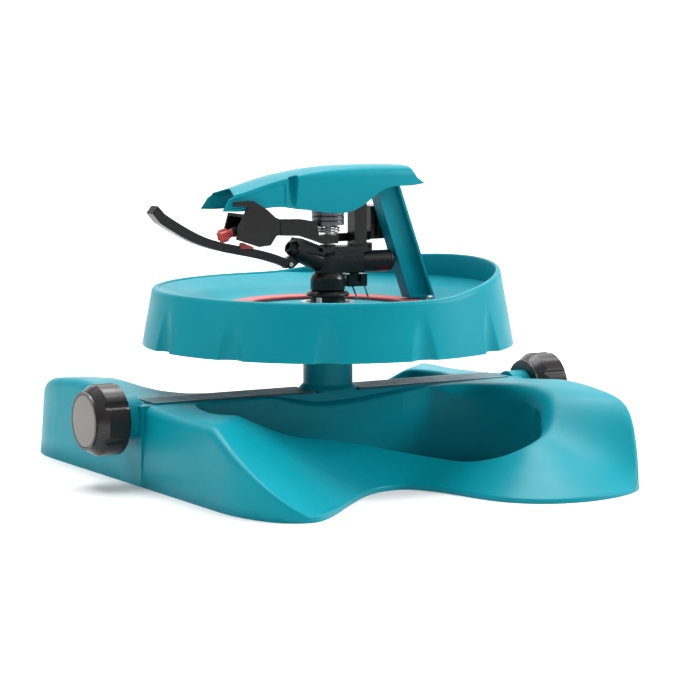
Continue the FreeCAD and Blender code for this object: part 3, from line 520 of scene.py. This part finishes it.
def dish_column(angle):
    """Closed profile of the dish at one angle, as rows of radius and height."""
    reach = MID_WALL * math.cos(angle)
    rise = LIP_SLOPE * 5 * math.log1p(math.exp(min((reach - LIP_START) / 5, 30)))
    top = RIM_HEIGHT + rise
    rows = []
    # The outside, from the skirt's lower edge up to the rim and over its rounded top.
    for share in np.linspace(0, 1, 34):
        height = SKIRT_BOTTOM + (top - RIM_WALL - SKIRT_BOTTOM) * share
        rows.append((fluted(wall_radius(height), angle), height))
    edge = wall_radius(top)
    for turn in np.linspace(0, math.pi / 2, 6)[1:]:
        rows.append((edge - RIM_WALL * (1 - math.cos(turn)), top - RIM_WALL * (1 - math.sin(turn))))
    # Down the inside of the lip, which is hollowed a little where it is high.
    lift = min(rise / 4, 1)
    inner_top = 93 - rise * 0.105
    for turn in np.linspace(0, math.pi / 2, 5):
        rows.append((inner_top + 0.9 * (1 - math.sin(turn)), top - 0.9 * (1 - math.cos(turn)) - 0.05))
    for share in np.linspace(0.15, 1, 8):
        height = (top - 1) + (99.6 - top + 1) * share
        rows.append((inner_top + (92.6 - inner_top) * share - 0.35 * math.sin(math.pi * share) * lift,
                     min(height, top - 1)))
    # Down the bowl, across the floor to the hub's bore, and back under the floor.
    rows += [tuple(p) for p in cubic(BOWL, 26)[1:]]
    rows += [(radius, FLOOR_TOP) for radius in (54, 40, 26, 17)]
    rows += [(12.4, FLOOR_TOP), (12.07, 88.0), (12.07, 83.0), (15.5, 83.0), (15.5, FLOOR_UNDERSIDE),
             (40, FLOOR_UNDERSIDE), (66.5, FLOOR_UNDERSIDE), (77.3, 91.6), (87, 95.1), (92.4, 96.2)]
    # Down the inside of the skirt.
    for share in np.linspace(0, 1, 10):
        height = 95.5 + (SKIRT_BOTTOM - 95.5) * share
        rows.append((fluted(wall_radius(height), angle) - SKIRT_WALL, height))
    return rows


def build_dish():
    """The dish as one lattice, its profile carried round the axis."""
    columns = 900
    angles = np.linspace(0, 2 * math.pi, columns, endpoint=False)
    profiles = np.array([dish_column(angle) for angle in angles])
    rows = profiles.shape[1]
    radius, height = profiles[:, :, 0].T, profiles[:, :, 1].T
    points = np.stack([radius * np.cos(angles), radius * np.sin(angles), height], axis=2).reshape(-1, 3)
    faces = grid_faces(rows, columns, True)
    last = (rows - 1) * columns
    faces += [(last + j, last + (j + 1) % columns, (j + 1) % columns, j) for j in range(columns)]
    stand_for(mesh_object("splash_dish_shell", points, faces, 50), "splash_dish")


# ---------------------------------------------------------------- hood

HOOD_FRONT = -72.0
HOOD_REAR = corners_mm("hood")[1][0]
HOOD_WALL = 2.0
REAR_LEAN = 9.2
LEAN_REACH = 26
FRONT_REACH = 24
FLUTE_AT = -29.0
FLUTE_DEPTH = 4.8
PANEL_DEPTH = 0.6
RIDGE = [(-72.5, 152.6), (-61, 155.2), (-50, 157.9), (-41.6, 159.9), (-29.3, 162.2), (-20, 163.8),
         (-8, 165.3), (6, 166.1), (22, 166.2), (40, 165.8), (54.6, 164.9)]
CREASE = [(-72.5, 149.4), (-64.5, 151.8), (-55, 154.6), (-43.5, 158), (-29, 161.3), (-15, 163.4), (0, 165.0),
          (25, 165.3), (54.6, 164.0)]
HALF_WIDTH = [(-72.5, 12.2), (-60, 12.5), (-42, 13.0), (-20, 13.8), (0, 14.4), (25, 14.4), (44, 13.6),
              (54.6, 12.8)]
CORNER = [(-72.5, 0.7), (-55, 0.8), (-35, 1.0), (-26, 1.8), (-10, 4.4), (5, 5.8), (30, 6.2), (54.6, 5.6)]
SKIRT = [(-72.5, 144), (-60, 143.6), (-50, 144.4), (-40, 145.2), (-28, 144.4), (-18, 142.7), (-8, 141.3),
         (2, 140.9), (8, 142), (13, 144.1), (20, 148.6), (25.5, 152), (33, 154.2), (44, 154.4), (54.6, 155.5)]


def along(table, x):
    """Height or width at x, from a smooth curve through the table."""
    curve = cubic(table, 400)
    return np.interp(x, curve[:, 0], curve[:, 1])


def roof_height(x, y):
    """Roof over the hood: it falls to the crease, and its front corners flare up in a facet each."""
    share = np.abs(y) / along(HALF_WIDTH, x)
    base = along(RIDGE, x) - (along(RIDGE, x) - along(CREASE, x)) * share ** 1.7
    facet = 167.96 + 0.2141 * x - 0.132 * np.abs(y)
    blend = 0.06
    lifted = blend * np.logaddexp(base / blend, facet / blend)
    return np.where(x < -44, lifted, base)


def flute_depth(x, height):
    """Groove down the wall that narrows and fades towards the skirt."""
    fade = np.clip((height - 144.8) / 13, 0, 1)
    half = 1.6 + 1.3 * fade
    across = np.clip(1 - ((x - FLUTE_AT) / half) ** 2, 0, 1)
    return FLUTE_DEPTH * fade ** 0.6 * across ** 0.7


def panel_depth(x, height, skirt, top):
    """Shallow panel in the wall between the front edge and the flute."""
    inside_x = smooth_step(-68.5, -67.5, x) * smooth_step(-33.2, -34.2, x)
    inside_z = smooth_step(skirt + 1.2, skirt + 1.9, height) * smooth_step(top - 1.2, top - 2.2, height)
    return PANEL_DEPTH * inside_x * inside_z


def hood_wall(x, share):
    """Width and height on the wall; share runs from 0 at the skirt to 1 at the rounded corner."""
    half, skirt, corner = along(HALF_WIDTH, x), along(SKIRT, x), along(CORNER, x)
    top = roof_height(x, half - corner) - corner
    height = skirt + (top - skirt) * share
    return half + 0.35 * (1 - share) - flute_depth(x, height) - panel_depth(x, height, skirt, top), height


def hood_corner(x, turn):
    """Width and height on the rounded corner; turn runs from 0 at the wall to a quarter turn at the roof."""
    half, corner = along(HALF_WIDTH, x), along(CORNER, x)
    height = roof_height(x, half - corner) - corner * (1 - math.sin(turn))
    fade = 1 - (turn / (math.pi / 2)) ** 2
    return half - corner * (1 - math.cos(turn)) - flute_depth(x, height) * fade, height


def hood_roof(x, share):
    """Width and height on the roof; share runs from 1 at the corner to 0 at the ridge."""
    y = (along(HALF_WIDTH, x) - along(CORNER, x)) * share
    return y, roof_height(x, y)


def hood_side():
    """Lattice over one half of the hood, from the skirt up the wall and over to the ridge."""
    stations = np.unique(np.concatenate([np.arange(HOOD_FRONT, -36, 0.7), np.arange(-36, -23, 0.2),
                                         np.arange(-23, HOOD_REAR, 1.0), [HOOD_REAR]]))
    pull = np.clip(1 - (stations - HOOD_FRONT) / FRONT_REACH, 0, 1)
    push = np.clip((stations - HOOD_REAR + LEAN_REACH) / LEAN_REACH, 0, 1)

    def row(front, lean, place, value):
        """One row, with its front end at front and its rear end leant forward by a share of REAR_LEAN."""
        x = stations + (front - HOOD_FRONT) * pull - REAR_LEAN * lean * push
        y, z = place(x, value)
        return np.stack([x, -y, z], axis=1)

    rows = []
    for share in np.linspace(0, 1, 30, endpoint=False):
        front = np.interp(143.9 + 7.9 * share, [143.9, 150, 151.8], [-72, -68, -65])
        rows.append(row(front, 0.6 * share, hood_wall, share))
    for turn in np.linspace(0, math.pi / 2, 7, endpoint=False):
        rows.append(row(-64.8, 0.6 + 0.36 * math.sin(turn), hood_corner, turn))
    for share in np.linspace(1, 0, 26):
        rows.append(row(-61 - 3.6 * share, 1 - 0.04 * share, hood_roof, share))
    return np.array(rows)


def build_hood():
    """The hood as one shell with a wall, mirrored about its middle plane, and its screw bosses."""
    near = hood_side()
    lattice = np.concatenate([near, near[::-1][1:] * (1, -1, 1)])
    rows, columns = lattice.shape[:2]
    faces = grid_faces(rows, columns)
    # The rear end is closed by a wall that shrinks to its middle.
    rim = lattice[:, -1]
    middle = np.array([HOOD_REAR - REAR_LEAN * 0.45, 0, 160.0])
    extra = [rim + (middle - rim) * share for share in (0.05, 0.5, 0.999)]
    count = rows * columns
    points = np.vstack([lattice.reshape(-1, 3)] + extra)
    ring = [[i * columns + columns - 1 for i in range(rows)]]
    ring += [[count + k * rows + i for i in range(rows)] for k in range(3)]
    for a, b in zip(ring, ring[1:]):
        faces += [(a[i], a[i + 1], b[i + 1], b[i]) for i in range(rows - 1)]
    thing = mesh_object("hood_shell", points, faces, 32)
    thicken(thing, HOOD_WALL)
    edge = thing.modifiers.new("edge", "BEVEL")
    edge.width = 0.3 * MM
    edge.segments = 2
    edge.angle_limit = math.radians(60)
    stand_for(thing, "hood")
    build_hood_bosses()


def build_hood_bosses():
    """Screw bosses that hang from the hood's roof."""
    points, faces = [], []
    for x, y, low, radius in ((10, 0, 151.1, 3.2), (26, 4.5, 160.1, 2.8), (26, -4.5, 160.1, 2.8)):
        top = float(roof_height(np.array([x]), np.array([y]))[0]) - 1.0
        profile = [(1.5, top - 1), (1.5, low), (radius - 0.4, low), (radius, low + 0.4), (radius, top - 1.5),
                   (radius + 1.0, top)]
        start = len(points)
        turns = np.linspace(0, 2 * math.pi, 40, endpoint=False)
        points += [(x + r * math.cos(a), y + r * math.sin(a), z) for r, z in profile for a in turns]
        faces += [tuple(start + i for i in face) for face in grid_faces(len(profile), len(turns), True)]
        faces.append(tuple(start + i for i in range(len(turns))))
        faces.append(tuple(start + (len(profile) - 1) * len(turns) + i for i in range(len(turns))))
    stand_for(mesh_object("hood_bosses", points, faces, 40), "hood")


# ---------------------------------------------------------------- parts that keep their CAD shape

def on_end_plate_top(middle):
    """True for the upper edges of the beam's two end plates."""
    return abs(middle.x) > 120.9 and middle.z > 42.9


def build_small_parts():
    """Softened copies of the nodes that show."""
    soften("pipe_beam", 0.35, on_end_plate_top, 4.5)
    widths = {
        "deck_strips": 0.25, "riser_column": 0.5, "bearing_nipple": 0.2, "end_cap": 0.5, "cap_disc": 0.3,
        "hose_coupling": 0.5, "sector_carrier": 0.25, "sector_collar": 0.2, "dust_flange": 0.25,
        "dust_sleeve": 0.25, "head_body": 0.35, "nozzle_tip": 0.2, "rear_plug": 0.3, "spring_drum": 0.15,
        "drum_cap": 0.25, "rear_post": 0.35, "hammer_arm": 0.4, "counterweight": 0.3, "drive_spoon": 0.7,
        "diffuser_knob": 0.4, "deflector_arm": 0.5, "deflector_insert": 0.25, "trip_block": 0.3,
        "reversing_pawl": 0.2, "sector_ring": 0.2,
    }
    for node, width in widths.items():
        soften(node, width)


def dress_cad_nodes():
    """Gives every CAD node the finish of its slot."""
    for node, thing in frame["nodes"].items():
        thing.data.materials.clear()
        thing.data.materials.append(MATERIALS[SLOT_OF[node]])


# ---------------------------------------------------------------- studio

HEADING = (0.5028, 0.8644)
CAMERA_PLACE = (-0.7651, -1.3265, 0.2459)
CAMERA_PITCH = math.radians(-6.533)
LENS = 148.67
SENSOR = 36
VIEW_TRANSFORM = "Standard"
# Name, place, target and size in metres, power in watts.
LIGHTS = [
    ("overhead", (0.15, 0.45, 1.6), (0, 0, 0.1), (1.5, 1.1), 28),
    ("left_side", (-1.5, 0.1, 0.7), (0, 0, 0.08), (0.9, 0.7), 3),
    ("right_side", (1.45, -0.75, 0.85), (0, 0, 0.08), (0.6, 0.8), 22),
    ("backdrop", (0.75, 1.3, 2.2), (1.15, 1.98, 0.4), (2.5, 1.0), 34),
]


def build_floor():
    """Pale floor that curves up into a backdrop across the camera's heading."""
    profile = [(-3.0, 0.0)] + [(1.6 + 0.8 * math.sin(t), 0.8 - 0.8 * math.cos(t))
                               for t in np.linspace(0, math.pi / 2, 24)] + [(2.4, 4.0)]
    mesh = bpy.data.meshes.new("studio_floor")
    heading = Vector((*HEADING, 0))
    across = Vector((HEADING[1], -HEADING[0], 0))
    points = []
    for side in (-5, 5):
        points += [tuple(heading * run + across * side + Vector((0, 0, height))) for run, height in profile]
    count = len(profile)
    faces = [(i, i + 1, count + i + 1, count + i) for i in range(count - 1)]
    mesh.from_pydata(points, [], faces)
    mesh.shade_smooth()
    floor = bpy.data.objects.new("studio_floor", mesh)
    bpy.context.scene.collection.objects.link(floor)
    floor.data.materials.append(surface("studio_paper", (0.93, 0.93, 0.93), 0.8, 2, 0.01, 0.01, sheen=0.2))


def area_light(name, place, target, size, power):
    """White rectangular light of this size in metres, turned to its target."""
    light = bpy.data.lights.new(name, "AREA")
    light.shape = "RECTANGLE"
    light.size, light.size_y = size
    light.energy = power
    thing = bpy.data.objects.new(name, light)
    thing.location = place
    thing.rotation_euler = (Vector(target) - Vector(place)).to_track_quat("-Z", "Y").to_euler()
    bpy.context.scene.collection.objects.link(thing)


def build_studio():
    """Floor, a white surround that is brighter above, and four soft lights."""
    build_floor()
    bpy.context.scene.view_settings.view_transform = VIEW_TRANSFORM
    world = bpy.data.worlds.new("studio")
    bpy.context.scene.world = world
    world.use_nodes = True
    tree = world.node_tree
    background = tree.nodes["Background"]
    background.inputs["Color"].default_value = (1, 1, 1, 1)
    split = tree.nodes.new("ShaderNodeSeparateXYZ")
    tree.links.new(tree.nodes.new("ShaderNodeTexCoord").outputs["Generated"], split.inputs["Vector"])
    tree.links.new(spread(tree, split.outputs["Z"], 0.21, 0.68, 0.0, 0.8), background.inputs["Strength"])
    for light in LIGHTS:
        area_light(*light)


def build_camera():
    """View from the front left, looking slightly down."""
    camera = bpy.data.objects.new("camera", bpy.data.cameras.new("camera"))
    camera.data.lens = LENS
    camera.data.sensor_width = SENSOR
    camera.location = CAMERA_PLACE
    level = math.cos(CAMERA_PITCH)
    look = Vector((HEADING[0] * level, HEADING[1] * level, math.sin(CAMERA_PITCH)))
    camera.rotation_euler = look.to_track_quat("-Z", "Y").to_euler()
    bpy.context.scene.collection.objects.link(camera)
    bpy.context.scene.camera = camera


dress_cad_nodes()
build_skids()
build_dish()
build_hood()
build_small_parts()
build_studio()
build_camera()
